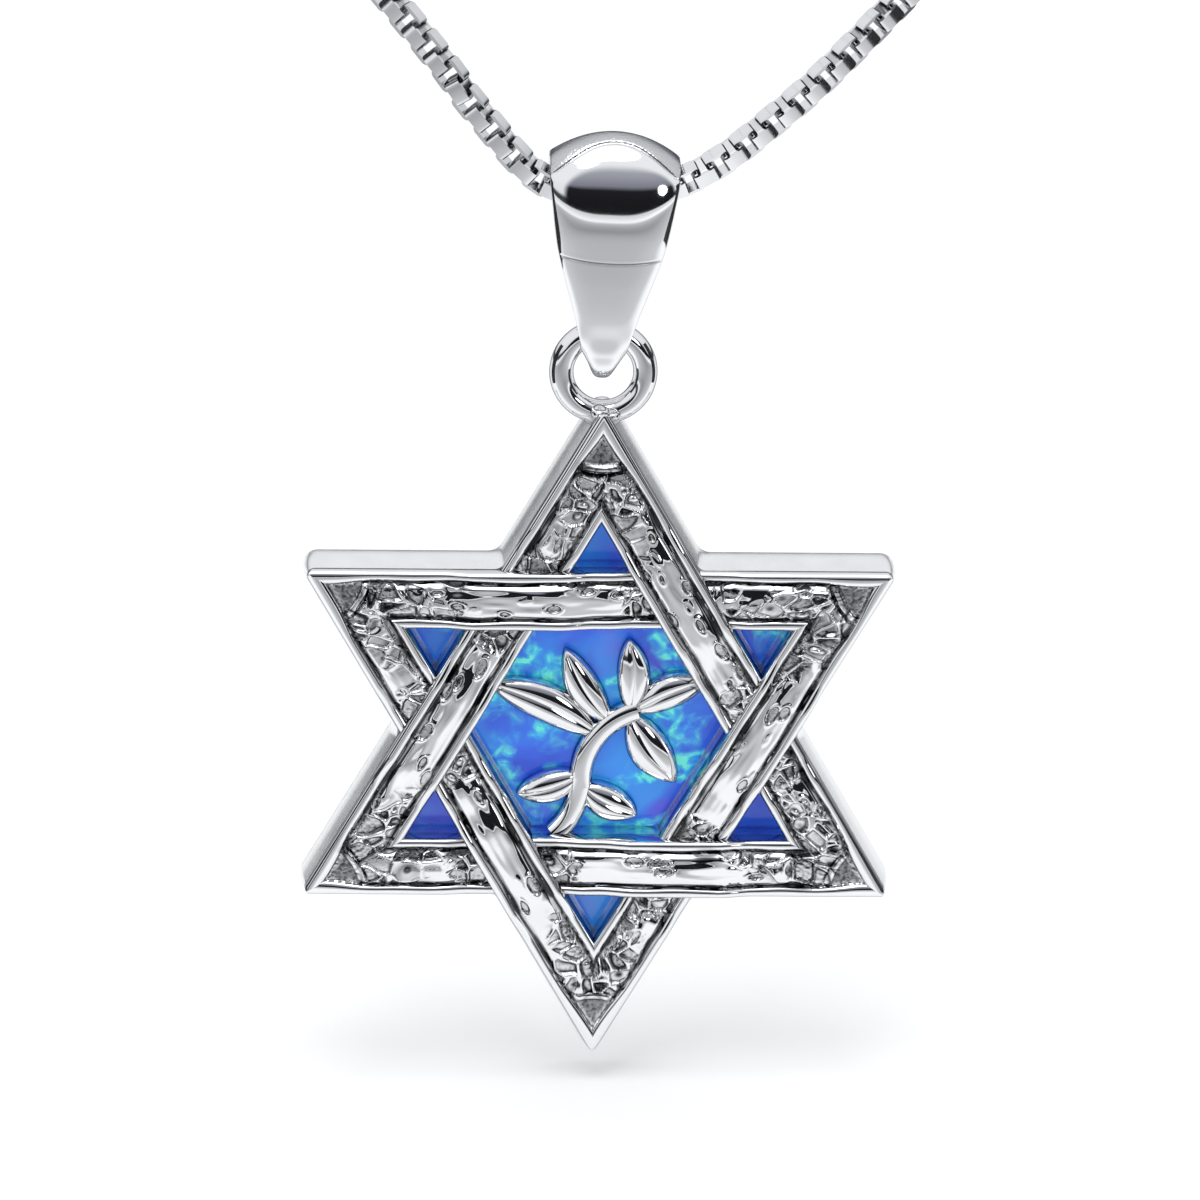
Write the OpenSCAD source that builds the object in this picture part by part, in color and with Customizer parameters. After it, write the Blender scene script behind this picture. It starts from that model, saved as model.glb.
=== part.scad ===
// Star of David pendant on its box chain: a cast frame of six woven bars with opal inlays,
// a round ring soldered to its top point, a tapered bail, and a chain that closes behind the neck.
// Row frame: X across, front towards -Y, Z up. The origin is at the nape, in the middle of the clasp.

/* [Star] */
// Width across the side points
star_w = 24; // [20:0.5:30]
// Thickness of the casting at its outer wall
star_t = 2.2; // [2:0.1:3.2]
// Height of the small window in each point; the woven bars take the width that is left beside it
point_h = 2.07; // [1.5:0.05:2.8]
// How far the outer wall leans out towards the back
flare = 0.24; // [0.1:0.02:0.4]
// Depth over which the outer wall leans out
flare_d = 1.2; // [0.6:0.05:1.4]
// Rounding of the six points, seen from the front
tip_r = 0.28; // [0.15:0.01:0.5]
// Rounding of the six points where the wall has leaned out
back_tip_r = 0.62; // [0.4:0.01:0.8]
// Rounding of the six notches between the points
notch_r = 0.45; // [0.2:0.05:0.9]
// Height of a bar's crown above the outer wall
crown_h = 0.38; // [0.25:0.01:0.6]
// Width of the round rim along each bar's edges
rim_w = 0.36; // [0.26:0.01:0.46]
// How far a bar rises where it passes over another
weave_lift = 0.24; // [0.1:0.01:0.35]
// Groove beside a bar that passes over another
groove_w = 0.1; // [0.05:0.01:0.2]
// Depth of the hammered pits in the bars
pit_depth = 0.28; // [0.12:0.01:0.4]
// Height of the sunk triangle inside each point
tip_pit_h = 1.35; // [0.9:0.05:1.6]

/* [Inlays] */
// Thickness of the closed back
back_t = 0.4; // [0.3:0.05:0.6]
// Thickness of the opal inlays
opal_t = 0.45; // [0.35:0.05:0.6]
// Bevel round the top of each inlay
opal_bevel = 0.12; // [0.05:0.01:0.2]
// Gap between an inlay and the wall round it
opal_gap = 0.05; // [0.03:0.01:0.1]

/* [Sprig] */
// Thickness of the sprig, from just above the opal
sprig_t = 0.95; // [0.6:0.05:1.2]
// Width of the stem
stem_w = 0.94; // [0.5:0.02:1.1]
// Width of a full leaf
leaf_w = 1.6; // [0.9:0.05:1.8]
// Gap between the sprig and the opal under it
sprig_gap = 0.06; // [0.03:0.01:0.12]

/* [Ring] */
// Inside diameter of the ring
ring_id = 2.44; // [2.2:0.02:3.2]
// Thickness of the ring's wire
ring_wire = 1.0; // [0.7:0.02:1.1]
// How far the star's top point stays below the ring's hole, inside the wire
apex_sink = 0.25; // [0.1:0.01:0.4]

/* [Bail] */
// Height of the bail
bail_h = 10.4; // [9.5:0.1:13]
// Width of the bail at its top
bail_w = 5.3; // [4.5:0.1:6.5]
// Depth of the bail from front to back, at its edges
bail_d = 3.1; // [2.9:0.1:3.8]
// Thickness of the bail's wall at its edges
bail_edge = 0.36; // [0.3:0.02:0.5]
// Thickness of the bail's wall down its middle
bail_wall = 0.55; // [0.45:0.05:0.75]
// How far the bail's crown stands out from its edges
bail_dome = 0.95; // [0.6:0.05:1.1]
// Thickness of the closed end that carries the ring
bail_foot = 1.3; // [1:0.05:1.4]
// Width of the closed end
foot_w = 1.1; // [0.8:0.05:1.2]
// Free space between the ring's wire and the closed end
eye_gap = 0.08; // [0.05:0.01:0.15]
// Height of the bail's top above the place where the chain passes
chain_drop = 2.1; // [1.9:0.1:2.8]

/* [Hang] */
// Lean of the bail towards the steeper strand, in degrees
bail_lean = 3.5; // [0:0.5:5]
// Lean of the star, in degrees
star_lean = 1; // [0:0.5:5]

/* [Chain] */
// Width across the chain's square links
chain_w = 1.15; // [0.9:0.05:1.2]
// Length of the clasp
clasp_len = 11.8; // [8:0.1:11.8]
// Width of the clasp
clasp_w = 3; // [2:0.1:4]

/* [Hidden] */
$fn = 64;

silver = [0.86, 0.87, 0.88];
opal_blue = [0.16, 0.42, 0.92];
// Bars keep this far inside the block's own edges.
seam = 0.02;
// Bars lap this far over each other at the mitres.
mitre_lap = 0.13;

// The star lies in its own plane: x across, y up, z towards the viewer, with z = 0 halfway through its wall.
// Each point is an equilateral corner, so its rounding takes one radius off the tip.
star_r = star_w / tan(60) + tip_r;
edge_y = star_r / 2;
bar_w = (edge_y - point_h) / 2;
inner_y = edge_y - bar_w;
z_back = -star_t / 2;
z_wall = star_t / 2;
z_seat = z_back + back_t;
z_opal = z_seat + opal_t;
z_sprig = z_opal + sprig_gap;
bar_count = 6;
bar_len = star_r * tan(60);
// A bar's middle line crosses its neighbours' at this distance from the bar's middle.
cross_x = (edge_y - bar_w / 2) / tan(60);
crown_r = (bar_w * bar_w / 4 + crown_h * crown_h) / (2 * crown_h);

// The ring and the bail stand on the row's Z axis.
ring_r = (ring_id + ring_wire) / 2;
eye_r = ring_wire / 2 + eye_gap;
bail_top = chain_drop;
bail_bottom = bail_top - bail_h;
eye_z = bail_bottom + bail_foot + eye_r;
ring_z = eye_z + eye_gap - ring_r;
apex_z = ring_z - ring_id / 2 - apex_sink;
star_z = apex_z - (star_r - tip_r);

function polar(r, a) = [r * cos(a), r * sin(a)];
function unit(v) = v / norm(v);
function lerp(a, b, t) = a + (b - a) * t;
// A steady pseudo-random share for pit number j of bar k
function scatter(k, j) = let (s = sin(k * 127.1 + j * 311.7 + 40) * 437.58) s - floor(s);

// Points of an outline whose corners are rounded: each corner is [point, radius]
arc_steps = 5;
function rounded(corners) = [
    for (i = [0 : len(corners) - 1])
        let (
            c = corners[i][0],
            r = corners[i][1],
            a = unit(corners[(i + len(corners) - 1) % len(corners)][0] - c),
            b = unit(corners[(i + 1) % len(corners)][0] - c),
            half = acos(a * b) / 2,
            centre = c + unit(a + b) * r / sin(half),
            from = c + a * r / tan(half) - centre,
            to = c + b * r / tan(half) - centre
        )
        for (s = [0 : arc_steps])
            centre + r * unit(lerp(from, to, s / arc_steps))
];

// Corners of a star drawn out by a distance, with its points and notches rounded
function star_corners(out, tip, notch) = let (r = star_r + 2 * out) rounded([
    for (i = [0 : 2 * bar_count - 1])
        i % 2 == 0 ? [polar(r, 90 + 30 * i), tip] : [polar(r / tan(60), 90 + 30 * i), notch]
]);

module star_outline(out = 0) {
    polygon(star_corners(out, tip_r, notch_r));
}

// The solid block of the star, leaning out towards its back, whose edge is eased
module star_block() {
    levels = [
        [z_wall, 0],
        [z_wall - flare_d, flare],
        [z_back + flare / 2, flare],
        [z_back, flare / 2]
    ];
    loops = [
        for (l = levels)
            let (tip = lerp(tip_r, back_tip_r, l[1] / flare))
            [for (p = star_corners(l[1], tip, notch_r + l[1])) [p[0], p[1], l[0]]]
    ];
    n = len(loops[0]);
    last = (len(levels) - 1) * n;
    polyhedron(
        points = [for (l = loops) each l],
        faces = concat(
            [[for (i = [n - 1 : -1 : 0]) i], [for (i = [0 : n - 1]) last + i]],
            [
                for (k = [0 : len(levels) - 2], i = [0 : n - 1])
                    [k * n + i, k * n + (i + 1) % n, (k + 1) * n + (i + 1) % n, (k + 1) * n + i]
            ]
        )
    );
}

// Outline of the six-sided window in the middle, drawn in by a gap
module centre_window(gap = 0) {
    r = (inner_y - gap) / cos(30);
    polygon([for (i = [0 : bar_count - 1]) polar(r, 60 * i)]);
}

// Outline of the small window in the top point, drawn in by a gap
module point_window(gap = 0) {
    low = edge_y + gap;
    high = 2 * inner_y - 2 * gap;
    half = (high - low) * tan(30);
    polygon([[-half, low], [half, low], [0, high]]);
}

// Footprint of the top bar: long edge outside, mitred at both points
module bar_footprint() {
    low = inner_y + seam;
    high = edge_y - seam;
    outer = bar_len / 2 + mitre_lap;
    inner = bar_len / 2 - bar_w * tan(60) + mitre_lap;
    polygon([[-outer, high], [outer, high], [inner, low], [-inner, low]]);
}

// Cross-section of a bar above its wall: a low crown between two round rims
module bar_section() {
    rim_r = rim_w / 2;
    intersection() {
        translate([0, crown_h - crown_r]) circle(crown_r);
        translate([-bar_w / 2, -crown_h]) square([bar_w, 2 * crown_h]);
    }
    for (side = [-1, 1])
        intersection() {
            translate([side * (bar_w / 2 - rim_r), 0]) circle(rim_r * 1.2, $fn = 16);
            translate([-bar_w / 2, -rim_w]) square([bar_w, 2 * rim_w]);
        }
}

// The top bar's crown and rims along its whole length
module bar_ridge() {
    translate([-bar_len / 2, edge_y - bar_w / 2, z_wall])
        rotate([90, 0, 90]) linear_extrude(bar_len) bar_section();
}

// The swell of the top bar where it passes over its left neighbour
module bar_swell() {
    swell_h = crown_h + weave_lift + seam;
    swell_half = bar_w * 0.95;
    swell_r = (swell_half * swell_half + swell_h * swell_h) / (2 * swell_h);
    intersection() {
        translate([0, 0, weave_lift]) bar_ridge();
        translate([-cross_x, edge_y + bar_w, z_wall + swell_h - swell_r])
            rotate([90, 0, 0]) cylinder(r = swell_r, h = 3 * bar_w);
    }
}

// Round hammered pits along the top bar, clear of its crossings
pit_count = 7;
module bar_pits(k) {
    reach = bar_len / 2 - bar_w * 1.7;
    for (j = [0 : pit_count - 1]) {
        x = lerp(-reach, reach, (j + 0.2 + 0.6 * scatter(k, j)) / pit_count);
        v = lerp(-0.2, 0.2, scatter(k + 11, j)) * bar_w;
        r = bar_w * lerp(0.07, 0.13, scatter(k + 23, j));
        translate([x, edge_y - bar_w / 2 + v, z_wall + crown_h - pit_depth])
            cylinder(r = r, h = pit_depth + weave_lift + crown_h, $fn = 14);
    }
}

// Band of the right neighbour, which passes over the top bar
module over_band() {
    rotate(-60)
        translate([-bar_len, inner_y - groove_w, z_wall + seam])
            cube([2 * bar_len, bar_w + 2 * groove_w, 3 * crown_h]);
}

module bar(k) {
    difference() {
        intersection() {
            union() {
                difference() {
                    bar_ridge();
                    over_band();
                }
                bar_swell();
            }
            translate([0, 0, z_wall - crown_h / 2])
                linear_extrude(4 * crown_h) intersection() {
                    bar_footprint();
                    star_outline(-seam);
                }
        }
        bar_pits(k);
    }
}

// Sunk triangle inside the top point, between the rims
module tip_pit() {
    inset = 2 * (rim_w + 0.12);
    high = star_r - inset;
    low = high - tip_pit_h;
    half = tip_pit_h * tan(30);
    translate([0, 0, z_wall - pit_depth * 0.6])
        linear_extrude(3 * crown_h) polygon([[-half, low], [half, low], [0, high]]);
}

// The sprig's leaves, each from a base on the stem to its end.
// Lengths are shares of the window's half height.
BASE_X = 0;
BASE_Y = 1;
END_X = 2;
END_Y = 3;
BREADTH = 4;
leaves = [
    [0.02, -0.07, -0.98, 0.42, 1.00],
    [0.12, 0.04, -0.30, 0.74, 0.85],
    [0.30, 0.14, 0.28, 0.84, 0.85],
    [0.33, 0.16, 0.99, 0.46, 0.90],
    [0.30, 0.13, 0.72, -0.52, 1.05],
    [-0.14, -0.45, -0.72, -0.64, 0.85],
    [-0.14, -0.55, 0.38, -0.84, 0.90]
];
// The stem's two bends, as shares of the same half height: centre and radius,
// then start angle and turn in degrees
BEND_X = 0;
BEND_Y = 1;
BEND_R = 2;
BEND_FROM = 3;
BEND_TURN = 4;
stem_bends = [
    [0.56, -0.50, 0.70, 106, 79],
    [-0.84, -0.50, 0.70, -48, 51]
];

module leaf(row) {
    base = [row[BASE_X], row[BASE_Y]] * inner_y;
    run = [row[END_X], row[END_Y]] * inner_y - base;
    length = norm(run);
    breadth = leaf_w * row[BREADTH];
    translate([base[0], base[1], z_sprig]) rotate(atan2(run[1], run[0])) hull() {
        linear_extrude(sprig_t * 0.55) leaf_arcs(length, breadth);
        translate([length * 0.1, 0, 0]) linear_extrude(sprig_t) leaf_arcs(length * 0.8, breadth * 0.35);
    }
}

// The two arcs' shared lens
module leaf_arcs(length, breadth) {
    r = (length * length + breadth * breadth) / (4 * breadth);
    intersection() {
        translate([length / 2, breadth / 2 - r]) circle(r, $fn = 96);
        translate([length / 2, r - breadth / 2]) circle(r, $fn = 96);
    }
}

module stem(row) {
    translate([row[BEND_X] * inner_y, row[BEND_Y] * inner_y, z_sprig])
        rotate(row[BEND_FROM]) rotate_extrude(angle = row[BEND_TURN])
            translate([row[BEND_R] * inner_y, 0]) stem_section();
}

module stem_section() {
    hull() {
        translate([-stem_w / 2, 0]) square([stem_w, sprig_t * 0.5]);
        translate([-stem_w / 4, 0]) square([stem_w / 2, sprig_t * 0.85]);
    }
}

module sprig() {
    for (row = leaves) leaf(row);
    for (row = stem_bends) stem(row);
}

// The block with its seven windows cut down to the closed back
module walls() {
    difference() {
        star_block();
        translate([0, 0, z_seat]) linear_extrude(star_t) {
            centre_window();
            for (k = [0 : bar_count - 1]) rotate(60 * k) point_window();
        }
    }
}

module ring() {
    translate([0, ring_z - star_z, 0])
        rotate_extrude($fn = 48) translate([ring_r, 0]) circle(ring_wire / 2, $fn = 16);
}

// From the star's own plane to the row frame: it hangs in the leaning bail's eye
module upright() {
    leaning() translate([0, 0, eye_z]) rotate([0, star_lean - bail_lean, 0])
        translate([0, 0, star_z - eye_z]) rotate([90, 0, 0]) children();
}

// The bail's own upright, leaning about the place where the chain passes
module leaning() {
    hung() rotate([0, bail_lean, 0]) children();
}

// Where the chain passes through the bail
module hung() {
    translate(route_right[0] + [0, 0, chain_sag]) children();
}

module star_frame() {
    color(silver) upright() {
        difference() {
            union() {
                walls();
                for (k = [0 : bar_count - 1]) rotate(60 * k) bar(k);
            }
            for (k = [0 : bar_count - 1]) rotate(60 * k) tip_pit();
        }
        sprig();
        ring();
    }
}

// An inlay with a bevelled top, made from the outline of its window
module inlay() {
    translate([0, 0, z_seat]) {
        linear_extrude(opal_t - opal_bevel) children(0);
        linear_extrude(opal_t) children(1);
    }
}

module opal_centre() {
    color(opal_blue) upright() inlay() {
        centre_window(opal_gap);
        centre_window(opal_gap + opal_bevel);
    }
}

module opal_point(k) {
    color(opal_blue) upright() rotate(60 * (k - 1)) inlay() {
        point_window(opal_gap);
        point_window(opal_gap + opal_bevel);
    }
}

// The bail is a band swept round a closed path in the YZ plane. Its columns: depth, height, edge thickness,
// half width, how far the outside and the inside stand out in the middle
DEPTH = 0;
HEIGHT = 1;
EDGE = 2;
HALF = 3;
OUT = 4;
IN = 5;

// Rows of the band above its foot, from front to back. Depth is a share of half bail_d, height a share of the
// span from the eye to the edge's top, half width a share of half bail_w, and crown a share of bail_dome.
side_top = bail_top - bail_dome - bail_edge / 2;
bail_rows = [
    [-0.78, 0.020, 0.34, 0.14],
    [-0.82, 0.150, 0.44, 0.22],
    [-0.84, 0.320, 0.58, 0.32],
    [-0.87, 0.470, 0.71, 0.42],
    [-0.95, 0.575, 0.80, 0.58],
    [-1.00, 0.700, 0.88, 0.78],
    [-0.98, 0.830, 0.96, 0.92],
    [-0.84, 0.925, 1.00, 0.98],
    [-0.54, 0.985, 1.00, 1.00],
    [-0.20, 1.000, 1.00, 1.00],
    [0.15, 1.000, 1.00, 1.00],
    [0.56, 0.980, 1.00, 0.98],
    [0.86, 0.905, 1.00, 0.90],
    [0.96, 0.780, 0.95, 0.70],
    [0.94, 0.600, 0.82, 0.48],
    [0.90, 0.420, 0.67, 0.34],
    [0.85, 0.200, 0.49, 0.22],
    [0.78, 0.020, 0.34, 0.14]
];
foot_turns = [30, 60, 90, 120, 150];

function upper_row(r) = [
    r[0] * (bail_d - bail_edge) / 2,
    lerp(eye_z, side_top, r[1]),
    bail_edge,
    r[2] * bail_w / 2,
    r[3] * bail_dome,
    r[3] * bail_dome - (bail_wall - bail_edge)
];
function foot_row(a) = let (
        deep = sin(a),
        thick = lerp(bail_wall, bail_foot, deep * deep),
        swell = (thick - bail_edge) / 2
    ) [
    cos(a) * (eye_r + thick / 2 + 0.1),
    eye_z - deep * (eye_r + thick / 2),
    bail_edge,
    lerp(bail_w * 0.16, foot_w / 2, deep),
    swell,
    -swell
];
band_rows = concat([for (r = bail_rows) upper_row(r)], [for (a = foot_turns) foot_row(a)]);

function smooth(p, q, r, s, t) =
    0.5 * (2 * q + (r - p) * t + (2 * p - 5 * q + 4 * r - s) * t * t + (3 * q - p - 3 * r + s) * t * t * t);
function band_at(i, t) = let (n = len(band_rows)) smooth(
    band_rows[(i + n - 1) % n], band_rows[i], band_rows[(i + 1) % n], band_rows[(i + 2) % n], t);
band_steps = 2;
stations = [for (i = [0 : len(band_rows) - 1], s = [0 : band_steps - 1]) band_at(i, s / band_steps)];

across = [-1, -0.75, -0.5, -0.25, 0, 0.25, 0.5, 0.75, 1];
function section(i) = let (
        n = len(stations),
        here = stations[i],
        ahead = stations[(i + 1) % n],
        behind = stations[(i + n - 1) % n],
        run = unit([ahead[DEPTH] - behind[DEPTH], ahead[HEIGHT] - behind[HEIGHT]]),
        out = [-run[1], run[0]]
    ) concat(
    [for (s = across) let (o = here[EDGE] / 2 + here[OUT] * (1 - s * s))
        [s * here[HALF], here[DEPTH] + out[0] * o, here[HEIGHT] + out[1] * o]],
    [for (j = [len(across) - 1 : -1 : 0]) let (s = across[j], o = -here[EDGE] / 2 + here[IN] * (1 - s * s))
        [s * here[HALF], here[DEPTH] + out[0] * o, here[HEIGHT] + out[1] * o]]
);

module bail() {
    sections = [for (i = [0 : len(stations) - 1]) section(i)];
    rings = len(sections);
    sides = len(sections[0]);
    color(silver) leaning() polyhedron(
        points = [for (s = sections) each s],
        faces = [
            for (i = [0 : rings - 1], j = [0 : sides - 1])
                let (
                    a = i * sides + j,
                    b = i * sides + (j + 1) % sides,
                    c = ((i + 1) % rings) * sides + (j + 1) % sides,
                    d = ((i + 1) % rings) * sides + j
                )
                each [[a, c, b], [a, d, c]]
        ]
    );
}

// The chain's route, from the middle of the bail up each side to the clasp behind the neck
chain_sag = 0.6;
route_right = [
    [0, -112, -115.6], [2.9, -111.9, -115], [6.2, -111.4, -112.9], [11.4, -110, -108.3],
    [26, -104, -94], [42, -92, -73], [56, -74, -49], [64, -52, -27],
    [60, -28, -12], [42, -10, -4], [20, -2, -1], [6, 0, 0]
];
route_left = [
    [0, -112, -115.6], [-2.9, -111.9, -114.9], [-5.6, -111.4, -112], [-8.5, -110.4, -108.3],
    [-22, -104, -93], [-40, -92, -73], [-56, -74, -49], [-64, -52, -27],
    [-60, -28, -12], [-42, -10, -4], [-20, -2, -1], [-6, 0, 0]
];
route_steps = [2, 2, 2, 4, 4, 5, 5, 4, 4, 4, 3];
chain_sides = 8;

// Points along one side of the route; the point before the first mirrors to the other side of the bail
function side_points(route, other) = [
    for (i = [0 : len(route) - 2], s = [0 : route_steps[i] - 1])
        smooth(
            i == 0 ? other[1] : route[i - 1], route[i], route[i + 1],
            i == len(route) - 2 ? [-route[i + 1][0], 0, 0] : route[i + 2], s / route_steps[i]
        ),
    route[len(route) - 1]
];

module chain_side(route, other) {
    line = side_points(route, other);
    n = len(line);
    runs = [
        for (i = [0 : n - 1])
            i == 0 ? unit(route[1] - other[1])
            : i == n - 1 ? [-sign(line[i][0]), 0, 0]
            : unit(line[i + 1] - line[i - 1])
    ];
    polyhedron(
        points = [
            for (i = [0 : n - 1])
                let (across = unit(cross(runs[i], [0, -1, 0.3])), up = cross(across, runs[i]))
                for (j = [0 : chain_sides - 1])
                    let (a = 360 * (j + 0.5) / chain_sides)
                    line[i] + (across * cos(a) + up * sin(a)) * chain_w / 2
        ],
        faces = concat(
            [[for (j = [chain_sides - 1 : -1 : 0]) j]],
            [[for (j = [0 : chain_sides - 1]) (n - 1) * chain_sides + j]],
            [
                for (i = [0 : n - 2], j = [0 : chain_sides - 1])
                    let (a = i * chain_sides + j, b = i * chain_sides + (j + 1) % chain_sides)
                    each [[a, b, b + chain_sides], [a, b + chain_sides, a + chain_sides]]
            ]
        )
    );
}

module chain_right() {
    color(silver) chain_side(route_right, route_left);
}

module chain_left() {
    color(silver) chain_side(route_left, route_right);
}

// One plain barrel between the chain's two ends
module clasp() {
    color(silver) rotate([0, 90, 0]) cylinder(d = clasp_w, h = clasp_len, center = true);
}

chain_right();
chain_left();
clasp();
bail();
star_frame();
opal_centre();
opal_point(1);  // opal_point_1
opal_point(2);  // opal_point_2
opal_point(3);  // opal_point_3
opal_point(4);  // opal_point_4
opal_point(5);  // opal_point_5
opal_point(6);  // opal_point_6
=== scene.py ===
import math
import bmesh
import bpy
from mathutils import Matrix, Vector, noise


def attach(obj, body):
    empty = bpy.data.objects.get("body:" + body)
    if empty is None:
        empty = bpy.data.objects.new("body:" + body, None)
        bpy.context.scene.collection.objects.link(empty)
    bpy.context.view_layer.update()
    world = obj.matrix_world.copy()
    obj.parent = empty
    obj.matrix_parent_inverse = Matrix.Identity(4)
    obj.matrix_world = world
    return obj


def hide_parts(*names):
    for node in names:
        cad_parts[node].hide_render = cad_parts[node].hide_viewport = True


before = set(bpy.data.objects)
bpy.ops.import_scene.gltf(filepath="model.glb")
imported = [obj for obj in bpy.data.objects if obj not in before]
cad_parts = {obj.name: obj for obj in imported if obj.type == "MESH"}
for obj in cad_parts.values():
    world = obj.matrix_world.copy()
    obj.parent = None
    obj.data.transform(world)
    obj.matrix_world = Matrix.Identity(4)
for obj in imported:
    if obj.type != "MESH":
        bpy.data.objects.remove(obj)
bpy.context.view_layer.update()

MM = 0.001

# Sizes of the pendant in millimetres, and its leans in degrees
BAIL_AT = Vector((0, -112, -115))
STAR_W = 24.0
STAR_T = 2.2
FLARE = 0.24
FLARE_D = 1.2
POINT_H = 2.07
TIP_R = 0.28
BACK_TIP_R = 0.62
NOTCH_R = 0.45
CROWN_SHOWN = 0.36
RIM_W = 0.45
RIM_H = 0.24
WEAVE_LIFT = 0.24
WEAVE_SINK = 0.15
SEAM = 0.02
BACK_T = 0.4
OPAL_T = 0.45
SPRIG_GAP = 0.06
SPRIG_T = 0.95
STEM_W = 0.94
LEAF_W = 1.6
RING_ID = 2.44
RING_WIRE = 1.0
APEX_SINK = 0.25
BAIL_H = 10.4
BAIL_W = 5.3
BAIL_D = 3.1
BAIL_EDGE = 0.36
BAIL_WALL = 0.55
BAIL_DOME = 0.95
BAIL_FOOT = 1.3
EYE_GAP = 0.08
CHAIN_DROP = 2.1
BAIL_LEAN = 3.5
STAR_LEAN = 1.0
CHAIN_W = 1.15

# Relief on the bars in millimetres; a cell has a dent or a pebble when its share is over the least
DENT_CELL = (1.15, 0.54)
DENT_LEAST = 0.5
DENT_R = 0.12
DENT_R_MORE = 0.30
DENT_SLOPE = 0.09
DENT_DEPTH = 0.11
DENT_LIP = 0.035
DENT_LIP_W = 0.06
DENT_DRIFT = 0.16
DENT_DRIFT_CELL = (1.3, 0.9)
SWELL_H = 0.085
SWELL_CELL = (1.7, 0.8)
STREAK_H = 0.030
STREAK_CELL = (1.4, 0.26)
GRAIN_H = 0.06
GRAIN_CELL = (0.15, 0.15)
LACE_CELL = (0.86, 0.70)
LACE_DRIFT = 0.26
LACE_LINE = (0.05, 0.18)
LACE_LINE_H = 0.11
LACE_BED = 0.05
LACE_BED_MORE = 0.18
LACE_REACH = (2.2, 4.4)
PEBBLE_LEAST = 0.66
PEBBLE_TOP = 0.10
PEBBLE_R = 0.30
PEBBLE_H = 0.10
PEBBLE_LINE_H = 0.09
# Width of the painted shade lines
SHADE_LINE_W = 0.06
RIM_WAVE = 2.2
RIM_SWAY = 0.16
CROWN_WAVE = 3.1
CROWN_SWAY = 0.12
RECESS_R = 2.45
RECESS_EDGE = 0.06
RECESS_BAND_W = 0.42
RECESS_BAND_H = 0.22
# Widths of the painted shade line beside each rim, broader above a bar than below it
RIM_LINE_W = 0.05
RIM_LINE_WAVE = 1.3
RIM_LINE_ABOVE = 0.38
RIM_LINE_BELOW = 0.22
# How deep a bar reaches into the block below it
BAR_FOOT = 0.6
# Shares of light that the painted shade lines take away
DENT_SHADE = 0.75
PIT_SHADE = 0.75
RIM_SHADE = 0.92
RECESS_EDGE_SHADE = 0.5
# From full to none, along a bar from where it crosses its neighbour
OVER_REACH = (1.7, 3.2)
UNDER_REACH = (1.7, 3.0)

STAR_R = STAR_W / math.sqrt(3) + TIP_R
EDGE_Y = STAR_R / 2
BAR_W = (EDGE_Y - POINT_H) / 2
INNER_Y = EDGE_Y - BAR_W
Z_BACK = -STAR_T / 2
Z_WALL = STAR_T / 2
Z_SEAT = Z_BACK + BACK_T
Z_OPAL = Z_SEAT + OPAL_T
Z_SPRIG = Z_OPAL + SPRIG_GAP
BAR_LEN = STAR_R * math.sqrt(3)
CROSS_X = (EDGE_Y - BAR_W / 2) / math.sqrt(3)
EYE_R = RING_WIRE / 2 + EYE_GAP
RING_R = (RING_ID + RING_WIRE) / 2
EYE_Z = CHAIN_DROP - BAIL_H + BAIL_FOOT + EYE_R
RING_Z = EYE_Z + EYE_GAP - RING_R
STAR_Z = RING_Z - RING_ID / 2 - APEX_SINK - (STAR_R - TIP_R)


def turn(degrees, axis):
    return Matrix.Rotation(math.radians(degrees), 4, axis)


def move(x, y, z):
    return Matrix.Translation((x, y, z))


TO_METRES = Matrix.Scale(MM, 4)
BAIL_PLACE = Matrix.Translation(BAIL_AT) @ turn(BAIL_LEAN, "Y")
STAR_PLACE = (BAIL_PLACE @ move(0, 0, EYE_Z) @ turn(STAR_LEAN - BAIL_LEAN, "Y")
              @ move(0, 0, STAR_Z - EYE_Z) @ turn(90, "X"))


def lerp(a, b, t):
    """From a to b as t runs from 0 to 1."""
    return a + (b - a) * t


def smoothstep(low, high, x):
    t = min(1.0, max(0.0, (x - low) / (high - low)))
    return t * t * (3 - 2 * t)


def bell(x, centre, width):
    """1 at the centre, and fading to both sides."""
    return math.exp(-((x - centre) / width) ** 2)


def plateau(x, start, top, top_end, end):
    """Rises smoothly from 0 at start to 1 at top, and falls from top_end to 0 at end."""
    return smoothstep(start, top, x) * (1 - smoothstep(top_end, end, x))


def half_round(x):
    """Height of a half circle over -1 to 1, and 0 beyond it."""
    return math.sqrt(max(0.0, 1 - x * x))


# Materials


# The colour sockets of a Mix node
MIX_SHARE, MIX_FIRST, MIX_SECOND, MIX_RESULT = 0, 6, 7, 2
BLACK = (0, 0, 0)
WHITE = (1, 1, 1)
SILVER = (0.87, 0.875, 0.885)
# Near black of the painted shade lines
SHADE_BLACK = (0.02, 0.02, 0.022)
# Painted shade: the metal's reflection turns dark at grazing angles, which darkens its outlines
EDGE_SHADE_TINT = (0.16, 0.165, 0.18, 1.0)


def new_material(name):
    mat = bpy.data.materials.new(name)
    mat.use_nodes = True
    return mat, mat.node_tree, mat.node_tree.nodes["Principled BSDF"]


def node(tree, kind, **values):
    made = tree.nodes.new(kind)
    for key, value in values.items():
        setattr(made, key, value)
    return made


def noise_at(tree, vector, scale, detail, distortion=0.0):
    made = node(tree, "ShaderNodeTexNoise")
    made.inputs["Scale"].default_value = scale
    made.inputs["Detail"].default_value = detail
    made.inputs["Distortion"].default_value = distortion
    tree.links.new(vector, made.inputs["Vector"])
    return made.outputs["Fac"]


def object_noise(tree, scale, detail=3.0):
    place = node(tree, "ShaderNodeTexCoord")
    return noise_at(tree, place.outputs["Object"], scale, detail)


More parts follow.
